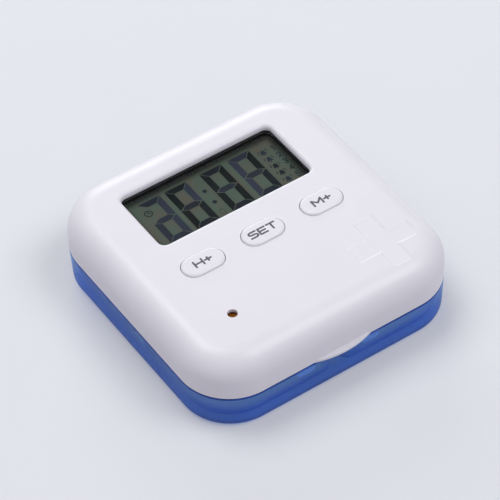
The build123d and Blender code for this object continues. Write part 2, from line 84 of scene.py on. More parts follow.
def linear(hex_colour: str) -> tuple[float, float, float, float]:
    """Turn an sRGB hex colour into the linear colour that a shader takes.

    Args:
        hex_colour: six hex digits after a hash, as #E6E6EC.

    Returns:
        Red, green and blue, where c/12.92 holds up to 0.04045 and ((c + 0.055)/1.055)^2.4 above, and an
        alpha of one.
    """
    srgb = np.array([int(hex_colour[i:i + 2], 16) / 255 for i in (1, 3, 5)])
    rgb = np.where(srgb <= 0.04045, srgb / 12.92, ((srgb + 0.055) / 1.055) ** 2.4)
    return (*rgb.tolist(), 1.0)


def add_node(
    tree: bpy.types.NodeTree,
    kind: str,
    settings: dict | None = None,
    links: dict | None = None,
) -> bpy.types.Node:
    """Add one node with its settings and links.

    Args:
        tree: the tree that gets the node.
        kind: the node's type name.
        settings: values by name, first looked for among the node's own properties, then its inputs.
        links: what feeds each input, as an output socket by the input's name or number.

    Returns:
        The new node.
    """
    node = tree.nodes.new(kind)
    for name, value in (settings or {}).items():
        if isinstance(name, str) and hasattr(node, name):
            setattr(node, name, value)
        else:
            node.inputs[name].default_value = value
    for name, output in (links or {}).items():
        tree.links.new(output, node.inputs[name])
    return node


def ray_is(tree: bpy.types.NodeTree, *kinds: str) -> bpy.types.NodeSocket:
    """Tell the kind of light path that meets the surface.

    Args:
        tree: the tree that gets the nodes.
        kinds: the kinds of ray, as the Light Path node names them.

    Returns:
        One for a ray of any of the kinds, zero for others.
    """
    path = add_node(tree, "ShaderNodeLightPath")
    found = path.outputs[f"Is {kinds[0]} Ray"]
    for kind in kinds[1:]:
        links = {0: found, 1: path.outputs[f"Is {kind} Ray"]}
        found = add_node(tree, "ShaderNodeMath", {"operation": "MAXIMUM"}, links).outputs[0]
    return found


def new_material(name: str) -> tuple[bpy.types.Material, bpy.types.NodeTree, bpy.types.Node]:
    """Start a material.

    Args:
        name: the material's name.

    Returns:
        The material, its empty tree and its output node.
    """
    material = bpy.data.materials.new(name)
    material.use_nodes = True
    tree = material.node_tree
    tree.nodes.clear()
    return material, tree, add_node(tree, "ShaderNodeOutputMaterial")


def mottle(
    tree: bpy.types.NodeTree, light: str, dark: str, size_mm: float, share: float
) -> bpy.types.NodeSocket:
    """Mix two close colours by a noise on the object's own coordinates.

    Args:
        tree: the material's tree.
        light: the main colour, as hex.
        dark: the other colour, as hex.
        size_mm: the size of one patch.
        share: how much of the other colour shows at its darkest, 0 to 1.

    Returns:
        The colour output.
    """
    place = add_node(tree, "ShaderNodeTexCoord")
    noise = add_node(
        tree,
        "ShaderNodeTexNoise",
        {"Scale": 1 / (size_mm * MM), "Detail": MOTTLE_DETAIL, "Roughness": MOTTLE_ROUGHNESS},
        {"Vector": place.outputs["Object"]},
    )
    amount = add_node(
        tree,
        "ShaderNodeMapRange",
        {"From Min": MOTTLE_SPAN[0], "From Max": MOTTLE_SPAN[1], "To Max": share},
        {"Value": noise.outputs["Fac"]},
    )
    mix = add_node(
        tree,
        "ShaderNodeMix",
        {"data_type": "RGBA", 6: linear(light), 7: linear(dark)},
        {0: amount.outputs["Result"]},
    )
    return mix.outputs[2]


def grain(
    tree: bpy.types.NodeTree, size_mm: float, height_mm: float, strength: float
) -> bpy.types.NodeSocket:
    """Give a fine moulded grain as a bump.

    Args:
        tree: the material's tree.
        size_mm: the size of one grain.
        height_mm: how deep the grain is.
        strength: the bump's strength, 0 to 1.

    Returns:
        The normal output.
    """
    place = add_node(tree, "ShaderNodeTexCoord")
    noise = add_node(
        tree,
        "ShaderNodeTexNoise",
        {"Scale": 1 / (size_mm * MM), "Detail": GRAIN_DETAIL, "Roughness": GRAIN_ROUGHNESS},
        {"Vector": place.outputs["Object"]},
    )
    bump = add_node(
        tree,
        "ShaderNodeBump",
        {"Strength": strength, "Distance": height_mm * MM},
        {"Height": noise.outputs["Fac"]},
    )
    return bump.outputs["Normal"]


@dataclass(frozen=True)
class MouldedPlastic:
    """An opaque injection-moulded plastic: a soft sheen over a colour that drifts very slightly.

    The eroded grain of a mould is about 0.1 mm wide. It is drawn at 0.35 mm, because finer wouldn't show.
    """

    name: str
    light: str
    dark: str
    patch_mm: float = 14.0
    share: float = 0.35
    roughness: float = 0.4
    ior: float = 1.5
    grain_mm: float = 0.35
    grain_height_mm: float = 0.01
    grain_strength: float = 0.25

    def build(self) -> bpy.types.Material:
        """Make the material."""
        material, tree, output = new_material(self.name)
        shader = add_node(
            tree,
            "ShaderNodeBsdfPrincipled",
            {"Roughness": self.roughness, "IOR": self.ior},
            {
                "Base Color": mottle(tree, self.light, self.dark, self.patch_mm, self.share),
                "Normal": grain(tree, self.grain_mm, self.grain_height_mm, self.grain_strength),
            },
        )
        tree.links.new(shader.outputs[0], output.inputs["Surface"])
        return material


@dataclass(frozen=True)
class TintedPlastic:
    """Moulded styrene with a translucent blue dye.

    Part of the light scatters at the dye and part goes straight through each face, so what stands close
    behind the wall shows as a paler patch. The dye's colour is painted lightest at the rim and deepest at
    the foot. This is painted light and shade of the wall, whose lower part curves in and faces down. It is
    also partly real: white parts stand behind the rim, and at the foot the compartment's rounded corner and
    floor give more plastic to look through, so the foot is also least clear. A thin dark band at the rim is
    a painted shadow of the parting line under the lid. Light that the dye scatters still gets inside, so
    lamps and bounced light lose less at a face than the eye does. Each pair of heights is a span over which
    one look turns into the next.
    """

    name: str
    # Colours by height: the pale crown and deep foot are painted light and shade of the curved wall, and
    # partly real
    crown: str = "#98D0FF"
    waist: str = "#5690F4"
    foot: str = "#2A4A98"
    through: str = "#BCD8FF"
    clear_share: float = 0.71
    foot_share: float = 0.5
    light_share: float = 0.97
    # The rim's thin dark band is a painted shadow of the parting line under the lid, and lets less through
    parting_shade: str = "#164AA4"
    parting_shade_clear: float = 0.35
    roughness: float = 0.14
    ior: float = 1.59
    foot_mm: tuple[float, float] = (1.6, 3.4)
    waist_mm: tuple[float, float] = (5.6, 9.0)
    # Heights of the painted shadow under the parting line: where it starts, then where it ends at the
    # knuckles
    parting_shade_mm: tuple[float, float] = (10.3, 10.5)
    knuckle_mm: tuple[float, float] = (10.82, 10.9)
    ripple_mm: float = 2.5
    ripple_height_mm: float = 0.02
    ripple_strength: float = 0.15

    def build(self) -> bpy.types.Material:
        """Make the material."""
        material, tree, output = new_material(self.name)
        place = add_node(tree, "ShaderNodeTexCoord")
        axes = add_node(tree, "ShaderNodeSeparateXYZ", None, {"Vector": place.outputs["Object"]})
        above_foot, above_waist, above_wall, above_parting_shade = self.rises(tree)
        # A thin band just under the rim: painted shadow of the parting line under the lid
        parting_shade = add_node(
            tree, "ShaderNodeMath", {"operation": "SUBTRACT"}, {0: above_wall, 1: above_parting_shade}
        ).outputs[0]
        dyed = add_node(
            tree,
            "ShaderNodeBsdfPrincipled",
            {"Roughness": self.roughness, "IOR": self.ior},
            {
                "Base Color": self.colour(tree, above_foot, above_waist, parting_shade),
                "Normal": grain(tree, self.ripple_mm, self.ripple_height_mm, self.ripple_strength),
            },
        )
        clear = add_node(tree, "ShaderNodeBsdfTransparent", {"Color": linear(self.through)})
        mix = add_node(
            tree,
            "ShaderNodeMixShader",
            None,
            {0: self.clearness(tree, above_foot, parting_shade), 1: dyed.outputs[0], 2: clear.outputs[0]},
        )
        tree.links.new(mix.outputs[0], output.inputs["Surface"])
        return material

    def rises(self, tree: bpy.types.NodeTree) -> list[bpy.types.NodeSocket]:
        """Smooth steps of the height, each from zero to one over one of the four spans, lowest first."""
        place = add_node(tree, "ShaderNodeTexCoord")
        axes = add_node(tree, "ShaderNodeSeparateXYZ", None, {"Vector": place.outputs["Object"]})
        return [
            add_node(
                tree,
                "ShaderNodeMapRange",
                {"interpolation_type": "SMOOTHSTEP", "From Min": low * MM, "From Max": high * MM},
                {"Value": axes.outputs["Z"]},
            ).outputs["Result"]
            for low, high in (self.foot_mm, self.waist_mm, self.parting_shade_mm, self.knuckle_mm)
        ]

    def colour(
        self,
        tree: bpy.types.NodeTree,
        above_foot: bpy.types.NodeSocket,
        above_waist: bpy.types.NodeSocket,
        parting_shade: bpy.types.NodeSocket,
    ) -> bpy.types.NodeSocket:
        """Lay the dye's colours over each other, the foot's first and the painted shadow at the rim last.

        Args:
            tree: the material's tree.
            above_foot: how far above the foot a point is, 0 to 1.
            above_waist: how far above the waist it is.
            parting_shade: how much it belongs to the painted shadow of the parting line at the rim.

        Returns:
            The colour output.
        """
        settings, links = {"data_type": "RGBA", 6: linear(self.foot)}, {}
        for hex_colour, share in ((self.waist, above_foot), (self.crown, above_waist), (self.parting_shade, parting_shade)):
            mix = add_node(tree, "ShaderNodeMix", settings | {7: linear(hex_colour)}, links | {0: share})
            links = {6: mix.outputs[2]}
        return links[6]

    def clearness(
        self, tree: bpy.types.NodeTree, above_foot: bpy.types.NodeSocket, parting_shade: bpy.types.NodeSocket
    ) -> bpy.types.NodeSocket:
        """Tell which share of a ray goes straight through a face.

        Args:
            tree: the material's tree.
            above_foot: how far above the foot a point is, 0 to 1.
            parting_shade: how much it belongs to the painted shadow of the parting line at the rim.

        Returns:
            foot_share to clear_share for the eye, or light_share for lamps and bounced light, times one
            to the share that the painted shadow of the parting line leaves clear.
        """
        seen = add_node(
            tree,
            "ShaderNodeMapRange",
            {"To Min": self.foot_share, "To Max": self.clear_share},
            {"Value": above_foot},
        )
        share = add_node(
            tree,
            "ShaderNodeMapRange",
            {"To Max": self.light_share},
            {"Value": ray_is(tree, "Shadow", "Diffuse"), "To Min": seen.outputs["Result"]},
        )
        left = add_node(
            tree,
            "ShaderNodeMapRange",
            {"To Min": 1.0, "To Max": self.parting_shade_clear},
            {"Value": parting_shade},
        )
        through = add_node(
            tree,
            "ShaderNodeMath",
            {"operation": "MULTIPLY"},
            {0: share.outputs["Result"], 1: left.outputs["Result"]},
        )
        return through.outputs[0]


@dataclass(frozen=True)
class ClearSheet:
    """A flat clear acrylic window: light passes straight, and the face reflects a little."""

    name: str
    tint: str = "#F4F7F6"
    roughness: float = 0.03
    ior: float = 1.49

    def build(self) -> bpy.types.Material:
        """Make the material.

        A face reflects r + (1 - r)(1 - cos)^5, where r is ((ior - 1)/(ior + 1))^2 and cos belongs to the
        angle of view. Both sides of a face reflect alike, so light that leaves the sheet isn't trapped.
        """
        material, tree, output = new_material(self.name)
        head_on = ((self.ior - 1) / (self.ior + 1)) ** 2
        facing = add_node(tree, "ShaderNodeLayerWeight", {"Blend": 0.5})
        slant = add_node(
            tree,
            "ShaderNodeMath",
            {"operation": "POWER", 1: 5.0},
            {0: facing.outputs["Facing"]},
        )
        share = add_node(
            tree,
            "ShaderNodeMapRange",
            {"To Min": head_on, "To Max": 1.0},
            {"Value": slant.outputs[0]},
        )
        clear = add_node(tree, "ShaderNodeBsdfTransparent", {"Color": linear(self.tint)})
        gloss = add_node(tree, "ShaderNodeBsdfGlossy", {"Roughness": self.roughness})
        mix = add_node(
            tree,
            "ShaderNodeMixShader",
            None,
            {0: share.outputs["Result"], 1: clear.outputs[0], 2: gloss.outputs[0]},
        )
        tree.links.new(mix.outputs[0], output.inputs["Surface"])
        return material


@dataclass(frozen=True)
class LiquidCrystal:
    """A reflective liquid crystal cell: a dull grey-green with brownish streaks along the figures.

    The lit area lies around middle_mm and reaches half_mm to each side, and darkens into painted shade
    towards the frame over the width of the border shade.
    """

    name: str
    green: str = "#626E63"
    brown: str = "#72655B"
    streak_mm: tuple[float, float] = (3.2, 11.0)
    share: float = 0.7
    roughness: float = 0.35
    middle_mm: tuple[float, float] = (0.0, 17.9)
    half_mm: tuple[float, float] = (24.6, 10.8)
    # Width and colour of the painted shade towards the frame
    border_shade_mm: float = 3.3
    border_shade_colour: str = "#0B0C0B"
    streak_detail: float = 1.5
    streak_roughness: float = 0.4
    streak_span: tuple[float, float] = (0.42, 0.66)

    def build(self) -> bpy.types.Material:
        """Make the material."""
        material, tree, output = new_material(self.name)
        place = add_node(tree, "ShaderNodeTexCoord")
        across, along = self.streak_mm
        stretch = add_node(
            tree,
            "ShaderNodeMapping",
            {"Scale": (1 / (across * MM), 1 / (along * MM), 1.0)},
            {"Vector": place.outputs["Object"]},
        )
        noise = add_node(
            tree,
            "ShaderNodeTexNoise",
            {"Scale": 1.0, "Detail": self.streak_detail, "Roughness": self.streak_roughness},
            {"Vector": stretch.outputs["Vector"]},
        )
        amount = add_node(
            tree,
            "ShaderNodeMapRange",
            {"From Min": self.streak_span[0], "From Max": self.streak_span[1], "To Max": self.share},
            {"Value": noise.outputs["Fac"]},
        )
        streaks = add_node(
            tree,
            "ShaderNodeMix",
            {"data_type": "RGBA", 6: linear(self.green), 7: linear(self.brown)},
            {0: amount.outputs["Result"]},
        )
        # Painted shade darkens the cell towards its frame
        mix = add_node(
            tree,
            "ShaderNodeMix",
            {"data_type": "RGBA", 7: linear(self.border_shade_colour)},
            {0: self.border_shade(tree), 6: streaks.outputs[2]},
        )
        shader = add_node(
            tree,
            "ShaderNodeBsdfPrincipled",
            {"Roughness": self.roughness, "Specular IOR Level": DULL},
            {"Base Color": mix.outputs[2]},
        )
        tree.links.new(shader.outputs[0], output.inputs["Surface"])
        return material

    def border_shade(self, tree: bpy.types.NodeTree) -> bpy.types.NodeSocket:
        """Paint shade on the cell towards its frame, where light that should cross it twice is cut off.

        Args:
            tree: the material's tree.

        Returns:
            The larger of two smooth steps of the distance from the middle, one along X and one along Y.
        """
        place = add_node(tree, "ShaderNodeTexCoord")
        centred = add_node(
            tree,
            "ShaderNodeMapping",
            {"Location": tuple(-v * MM for v in self.middle_mm) + (0.0,)},
            {"Vector": place.outputs["Object"]},
        )
        axes = add_node(tree, "ShaderNodeSeparateXYZ", None, {"Vector": centred.outputs["Vector"]})
        steps = []
        for axis, half in zip("XY", self.half_mm):
            far = add_node(tree, "ShaderNodeMath", {"operation": "ABSOLUTE"}, {0: axes.outputs[axis]})
            step = add_node(
                tree,
                "ShaderNodeMapRange",
                {
                    "interpolation_type": "SMOOTHSTEP",
                    "From Min": (half - self.border_shade_mm) * MM,
                    "From Max": half * MM,
                },
                {"Value": far.outputs[0]},
            )
            steps.append(step.outputs["Result"])
        return add_node(tree, "ShaderNodeMath", {"operation": "MAXIMUM"}, dict(enumerate(steps))).outputs[0]


@dataclass(frozen=True)
class CrystalFigure:
    """A driven segment of the display: blue-black where it is driven hard, purplish where it is weak."""

    name: str
    strong: str = "#0E161A"
    weak: str = "#3F4256"
    roughness: float = 0.35

    def build(self) -> bpy.types.Material:
        """Make the material."""
        material, tree, output = new_material(self.name)
        weakness = add_node(tree, "ShaderNodeAttribute", {"attribute_name": WEAKNESS})
        mix = add_node(
            tree,
            "ShaderNodeMix",
            {"data_type": "RGBA", 6: linear(self.strong), 7: linear(self.weak)},
            {0: weakness.outputs["Fac"]},
        )
        shader = add_node(
            tree,
            "ShaderNodeBsdfPrincipled",
            {"Roughness": self.roughness, "Specular IOR Level": DULL},
            {"Base Color": mix.outputs[2]},
        )
        tree.links.new(shader.outputs[0], output.inputs["Surface"])
        return material


@dataclass(frozen=True)
class Metal:
    """A bare or plated metal: fine rubbing breaks its roughness, and wider clouds its colour."""

    name: str
    light: str
    dark: str
    roughness: float = 0.3
    spread: float = 0.12
    patch_mm: float = 1.2
    rub_detail: float = 4.0
    cloud_mm: float = 3.6
    cloud_share: float = 0.6

    def build(self) -> bpy.types.Material:
        """Make the material."""
        material, tree, output = new_material(self.name)
        place = add_node(tree, "ShaderNodeTexCoord")
        noise = add_node(
            tree,
            "ShaderNodeTexNoise",
            {"Scale": 1 / (self.patch_mm * MM), "Detail": self.rub_detail},
            {"Vector": place.outputs["Object"]},
        )
        rough = add_node(
            tree,
            "ShaderNodeMapRange",
            {"To Min": self.roughness - self.spread, "To Max": self.roughness + self.spread},
            {"Value": noise.outputs["Fac"]},
        )
        shader = add_node(
            tree,
            "ShaderNodeBsdfPrincipled",
            {"Metallic": 1.0},
            {
                "Base Color": mottle(tree, self.light, self.dark, self.cloud_mm, self.cloud_share),
                "Roughness": rough.outputs["Result"],
            },
        )
        tree.links.new(shader.outputs[0], output.inputs["Surface"])
        return material


@dataclass(frozen=True)
class PaintedTable:
    """A matt painted table top: a pale colour that hardly shines and drifts very slightly.

    It is darker in the light that it throws back on the object. A share of what the camera sees is its
    own colour without shade, so that the shadow is soft and light.
    """

    name: str
    light: str = "#E4E6EB"
    dark: str = "#DFE1E7"
    bounce: str = "#C4C3C9"
    patch_mm: float = 120.0
    share: float = 0.5
    roughness: float = 0.8
    plain_share: float = 0.2

    def build(self) -> bpy.types.Material:
        """Make the material."""
        material, tree, output = new_material(self.name)
        colour = add_node(
            tree,
            "ShaderNodeMix",
            {"data_type": "RGBA", 6: linear(self.bounce)},
            {
                0: ray_is(tree, "Camera", "Glossy", "Transmission"),
                7: mottle(tree, self.light, self.dark, self.patch_mm, self.share),
            },
        )
        matt = add_node(
            tree,
            "ShaderNodeBsdfPrincipled",
            {"Roughness": self.roughness, "Specular IOR Level": DULL},
            {"Base Color": colour.outputs[2]},
        )
        plain = add_node(tree, "ShaderNodeEmission", None, {"Color": colour.outputs[2]})
        share = add_node(
            tree,
            "ShaderNodeMath",
            {"operation": "MULTIPLY", 1: self.plain_share},
            {0: ray_is(tree, "Camera")},
        )
        mix = add_node(
            tree,
            "ShaderNodeMixShader",
            None,
            {0: share.outputs[0], 1: matt.outputs[0], 2: plain.outputs[0]},
        )
        tree.links.new(mix.outputs[0], output.inputs["Surface"])
        return material


Finish = MouldedPlastic | TintedPlastic | ClearSheet | LiquidCrystal | CrystalFigure | Metal | PaintedTable


def dress(nodes: dict, finish: Finish, *names: str) -> None:
    """Give every material slot of the named nodes one finish.

    Args:
        nodes: the frame's nodes by name.
        finish: the finish, which is built once.
        names: the nodes that wear it.
    """
    material = finish.build()
    for name in names:
        if not nodes[name].material_slots:
            nodes[name].data.materials.append(material)
        for place in nodes[name].material_slots:
            place.material = material
        log.info("%s wears %s", name, material.name)


def put_mesh(name: str, points: np.ndarray, faces: list) -> bpy.types.Object:
    """Put arrays of points and faces into a new flat-shaded object at the origin.

    Args:
        name: the piece's name.
        points: N by 3, in metres.
        faces: rows of point numbers.

    Returns:
        The new object.
    """
    mesh = bpy.data.meshes.new(name)
    mesh.from_pydata(points.tolist(), [], faces)
    mesh.validate()
    mesh.polygons.foreach_set("use_smooth", [False] * len(mesh.polygons))
    mesh.update()
    piece = bpy.data.objects.new(name, mesh)
    bpy.context.scene.collection.objects.link(piece)
    return piece


def ring_faces(rings: int, around: int, start: int = 0) -> np.ndarray:
    """Number the quads of a grid whose second direction closes on itself.

    Args:
        rings: how many rings the grid has.
        around: how many points each ring has.
        start: the number of the grid's first point.

    Returns:
        Rows of four point numbers, turned so that rings going up and points going anticlockwise face out.
    """
    i, j = np.meshgrid(np.arange(rings - 1), np.arange(around), indexing="ij")
    k = (j + 1) % around
    rows = np.stack([i * around + j, i * around + k, (i + 1) * around + k, (i + 1) * around + j], axis=-1)
    return rows.reshape(-1, 4) + start


def pads(outlines: list[np.ndarray], bottom: float, top: float) -> tuple[np.ndarray, list]:
    """Raise convex outlines into thin pads.

    Each pad is a grid of rings times outline points: the outline at the bottom, the same at the top, and
    one cap face at each end. Each top lies a fraction of a micrometre below the one before, because
    overlapping faces in one plane would shade each other black.

    Args:
        outlines: closed anticlockwise outlines, N by 2, in millimetres.
        bottom: height of the underside in millimetres.
        top: height of the highest face in millimetres.

    Returns:
        Points in metres and faces.
    """
    points, faces, start = [], [], 0
    for index, outline in enumerate(outlines):
        count = len(outline)
        for height in (bottom, top - index % PAD_STEPS * PAD_STEP):
            points.append(np.column_stack([outline, np.full(count, height)]))
        faces += ring_faces(2, count, start).tolist()
        faces.append(list(range(start + count - 1, start - 1, -1)))
        faces.append(list(range(start + count, start + 2 * count)))
        start += 2 * count
    return np.concatenate(points) * MM, faces


def stroke(path: list[tuple[float, float]], width: float) -> list[np.ndarray]:
    """Draw an open path as a chain of convex capsules, one a run, which share their round ends.

    Args:
        path: corner points in millimetres.
        width: stroke width in millimetres.

    Returns:
        Convex outlines.
    """
    outlines = []
    turns = np.linspace(-np.pi / 2, np.pi / 2, ROUND_END)
    for first, last in zip(np.array(path[:-1], float), np.array(path[1:], float)):
        run = last - first
        heading = math.atan2(run[1], run[0])
        ends = []
        for end, turn in ((last, heading), (first, heading + np.pi)):
            around = turn + turns
            ends.append(end + np.column_stack([np.cos(around), np.sin(around)]) * width / 2)
        outlines.append(np.concatenate(ends))
    return outlines


def arc(centre: tuple[float, float], radius: float, start: float, end: float, steps: int = 8) -> list:
    """Points along an arc.

    Args:
        centre: the arc's centre.
        radius: its radius.
        start: first angle in degrees.
        end: last angle in degrees.
        steps: how many runs.

    Returns:
        Points at centre plus radius times cosine and sine of evenly spaced angles.
    """
    turns = np.radians(np.linspace(start, end, steps + 1))
    return list(zip(centre[0] + radius * np.cos(turns), centre[1] + radius * np.sin(turns)))


def disc(centre: tuple[float, float], radius: float, runs: int = DOT_RUNS) -> np.ndarray:
    """The outline of a round dot, as an arc of a full turn without the point that closes it."""
    return np.array(arc(centre, radius, 0, 360, runs)[:-1])


# Plain letters and numbers in a cell one unit high: each mark's width and the paths of its strokes
GLYPHS = {
    "H": (0.8, [[(0, 0), (0, 1)], [(0.8, 0), (0.8, 1)], [(0, 0.5), (0.8, 0.5)]]),
    "M": (0.95, [[(0, 0), (0, 1), (0.475, 0.35), (0.95, 1), (0.95, 0)]]),
    "S": (0.77, [[(0.75, 1), *arc((0.24, 0.76), 0.24, 90, 270), (0.51, 0.52),
                  *arc((0.51, 0.26), 0.26, 90, -90), (0, 0)]]),
    "E": (0.7, [[(0.7, 1), (0, 1), (0, 0), (0.7, 0)], [(0, 0.5), (0.62, 0.5)]]),
    "T": (0.8, [[(0, 1), (0.8, 1)], [(0.4, 1), (0.4, 0)]]),
    "+": (0.62, [[(0, 0.5), (0.62, 0.5)], [(0.31, 0.19), (0.31, 0.81)]]),
    "1": (0.5, [[(0.05, 0.78), (0.3, 1), (0.3, 0)]]),
    "2": (0.6, [[*arc((0.3, 0.7), 0.3, 160, -30), (0, 0), (0.6, 0)]]),
    "3": (0.6, [[*arc((0.28, 0.74), 0.26, 150, -90), *arc((0.28, 0.26), 0.28, 90, -150)]]),
    "4": (0.65, [[(0.48, 0), (0.48, 1), (0, 0.3), (0.65, 0.3)]]),
    "5": (0.6, [[(0.55, 1), (0.08, 1), (0.03, 0.55), *arc((0.27, 0.32), 0.3, 110, -140)]]),
}


def lettering(
    text: str, centre: tuple[float, float], height: float, width: float, spread: float = 1.0
) -> list[np.ndarray]:
    """Set a row of marks around a centre.

    Args:
        text: the marks, each one of GLYPHS.
        centre: the middle of the row in millimetres.
        height: height of the marks from stroke middle to stroke middle.
        width: stroke width.
        spread: how much wider than drawn each mark is.

    Returns:
        Convex outlines.
    """
    total = sum(GLYPHS[mark][0] * spread for mark in text) + LETTER_GAP * (len(text) - 1)
    x = centre[0] - total * height / 2
    outlines = []
    for mark in text:
        wide, paths = GLYPHS[mark]
        for path in paths:
            placed = [(x + px * spread * height, centre[1] + (py - 0.5) * height) for px, py in path]
            outlines += stroke(placed, width)
        x += (wide * spread + LETTER_GAP) * height
    return outlines


class Segment(Enum):
    """The seven bars of a figure, by the letters that display makers use."""

    TOP = "a"
    UPPER_RIGHT = "b"
    LOWER_RIGHT = "c"
    BOTTOM = "d"
    LOWER_LEFT = "e"
    UPPER_LEFT = "f"
    MIDDLE = "g"


# How weakly each bar of each figure is driven: the colour of a real one drifts from bar to bar
DIGITS = (
    {Segment.TOP: 0.45, Segment.UPPER_RIGHT: 0.9, Segment.LOWER_RIGHT: 0.9, Segment.BOTTOM: 0.7,
     Segment.LOWER_LEFT: 0.6, Segment.MIDDLE: 0.65},
    {Segment.TOP: 0.1, Segment.UPPER_RIGHT: 0.95, Segment.LOWER_RIGHT: 0.1, Segment.BOTTOM: 0.25,
     Segment.LOWER_LEFT: 0.0, Segment.UPPER_LEFT: 0.0, Segment.MIDDLE: 0.35},
    {Segment.TOP: 0.25, Segment.UPPER_RIGHT: 0.0, Segment.LOWER_RIGHT: 0.0, Segment.BOTTOM: 0.25,
     Segment.LOWER_LEFT: 0.05, Segment.UPPER_LEFT: 0.05, Segment.MIDDLE: 0.55},
    {Segment.TOP: 0.7, Segment.UPPER_RIGHT: 0.0, Segment.LOWER_RIGHT: 0.15, Segment.BOTTOM: 0.4,
     Segment.LOWER_LEFT: 0.95, Segment.UPPER_LEFT: 0.95, Segment.MIDDLE: 0.55},
)


@dataclass
class Display:
    """The liquid crystal display under the window: cell, black frame, clear sheet and its figures."""

    digit_width: float = 7.0
    digit_height: float = 16.6
    digit_y: float = 17.9
    digit_lefts: tuple[float, ...] = (-19.8, -11.3, 0.0, 9.0)
    bar: float = 1.95
    bar_tip: float = 0.3
    gap: float = 0.13
    colon_x: float = -2.1
    colon_ys: tuple[float, float] = (20.3, 15.5)
    colon_radius: float = 0.65
    colon_weakness: float = 0.35
    bell_x: float = 18.75
    number_x: float = 22.0
    row_top: float = 23.1
    row_pitch: float = 2.98
    row_weakness: tuple[float, ...] = (0.6, 0.6, 0.2, 0.2, 0.6)
    bell_size: float = 1.3
    sound_stroke: float = 0.16
    number_height: float = 1.75
    number_stroke: float = 0.32
    clock_inset: float = 0.95
    clock_radius: float = 1.05
    clock_stroke: float = 0.3
    clock_hands: tuple[float, float] = (0.65, 0.45)
    hand_stroke: float = 0.26
    clock_weakness: float = 0.35
    battery: tuple[float, float] = (-2.3, 11.4)
    battery_stroke: float = 0.22
    stub_stroke: float = 0.3
    print_thickness: float = 0.02

    def build(self, nodes: dict, body: str) -> None:
        """Dress the display's nodes and put in its figures.

        Args:
            nodes: the frame's nodes by name.
            body: the body that carries the display.
        """
        self.finish(nodes)
        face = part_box("display_glass")[1][2] / MM
        driven = CrystalFigure("driven_crystal").build()
        self.place("display_figures", *self.figures(), face, driven, body)
        self.place("display_marks", *self.marks(), face, driven, body)
        faint = CrystalFigure("undriven_crystal", "#515C52", "#515C52").build()
        outlines = self.battery_mark(self.battery)
        self.place("display_battery_mark", outlines, [0.0] * len(outlines), face, faint, body)

    def finish(self, nodes: dict) -> None:
        """Dress the nodes of the display.

        Polished acrylic is clear with a sharp thin reflection, the cell is dull, the black frame drinks
        light, the foil is bright and the rubber strips are matt.

        Args:
            nodes: the frame's nodes by name.
        """
        dress(nodes, ClearSheet("clear_acrylic_sheet"), "display_lens")
        dress(nodes, LiquidCrystal("liquid_crystal_cell"), "display_glass")
        black = MouldedPlastic("black_abs_frame", "#0E0E10", "#151517", roughness=0.5)
        dress(nodes, black, "display_frame")
        foil = Metal("reflector_foil", "#C9CCCC", "#B4B8B8", roughness=0.25)
        dress(nodes, foil, "display_reflector")
        rubber = MouldedPlastic("carbon_silicone_rubber", "#3B3B3E", "#26262A", 1.0, 0.8, roughness=0.8)
        dress(nodes, rubber, "zebra_strips")

    def figures(self) -> tuple[list[np.ndarray], list[float]]:
        """The four figures and the colon between them, as outlines with how weakly each is driven."""
        outlines, weakness = [], []
        corner_y = self.digit_y - self.digit_height / 2
        for left, digit in zip(self.digit_lefts, DIGITS):
            for segment, weak in digit.items():
                outlines.append(self.segment(segment) + np.array([left, corner_y]))
                weakness.append(weak)
        for y in self.colon_ys:
            outlines.append(disc((self.colon_x, y), self.colon_radius))
            weakness.append(self.colon_weakness)
        return outlines, weakness

    def marks(self) -> tuple[list[np.ndarray], list[float]]:
        """The rows of bells and numbers and the clock, as outlines with how weakly each is driven."""
        outlines, weakness = [], []
        for row, weak in enumerate(self.row_weakness):
            y = self.row_top - row * self.row_pitch
            marks = self.bell((self.bell_x, y))
            marks += lettering(str(row + 1), (self.number_x, y), self.number_height, self.number_stroke)
            outlines += marks
            weakness += [weak] * len(marks)
        clock = self.clock((self.digit_lefts[0] + self.clock_inset, self.digit_y + self.digit_height / 4))
        return outlines + clock, weakness + [self.clock_weakness] * len(clock)

    def place(
        self, name: str, outlines: list, weakness: list, face: float, ink: bpy.types.Material, body: str
    ) -> None:
        """Put outlines on the cell's face as one piece.

        Args:
            name: the piece's name.
            outlines: convex outlines in millimetres.
            weakness: how weakly each outline is driven, 0 to 1.
            face: height of the cell's face in millimetres.
            ink: the material.
            body: the body that carries it.
        """
        points, faces = pads(outlines, face, face + self.print_thickness)
        piece = put_mesh(name, points, faces)
        values = np.repeat(weakness, [2 * len(outline) for outline in outlines])
        piece.data.attributes.new(WEAKNESS, "FLOAT", "POINT").data.foreach_set("value", values)
        piece.data.materials.append(ink)
        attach(piece, body)
        log.info("%s: %d marks", name, len(outlines))

    def segment(self, which: Segment) -> np.ndarray:
        """One bar of a figure, cut at 45 degrees where it meets its neighbours.

        Args:
            which: the bar.

        Returns:
            Its outline with the figure's lower left corner at the origin.
        """
        # width and height of the figure, thickness of a bar and the gap at its ends
        w, h, t, g = self.digit_width, self.digit_height, self.bar, self.gap
        half, m = h / 2, t / 2
        if which is Segment.TOP:
            shape = [(g, h), (w - g, h), (w - t - g, h - t), (t + g, h - t)]
        elif which is Segment.BOTTOM:
            shape = [(g, 0), (t + g, t), (w - t - g, t), (w - g, 0)]
        elif which is Segment.MIDDLE:
            shape = [(g + m / 2, half), (t + g, half - m), (w - t - g, half - m), (w - g - m / 2, half)]
            shape += [(w - t - g, half + m), (t + g, half + m)]
        else:
            tip = m * self.bar_tip
            left = [(0, g), (t, t + g), (t, half - m - g), (tip, half - g), (0, half - g)]
            outline = np.array(left, float)
            if which in (Segment.LOWER_RIGHT, Segment.UPPER_RIGHT):
                outline[:, 0] = w - outline[:, 0]
            if which in (Segment.UPPER_LEFT, Segment.UPPER_RIGHT):
                outline[:, 1] = h - outline[:, 1]
            return anticlockwise(outline)
        return anticlockwise(np.array(shape, float))

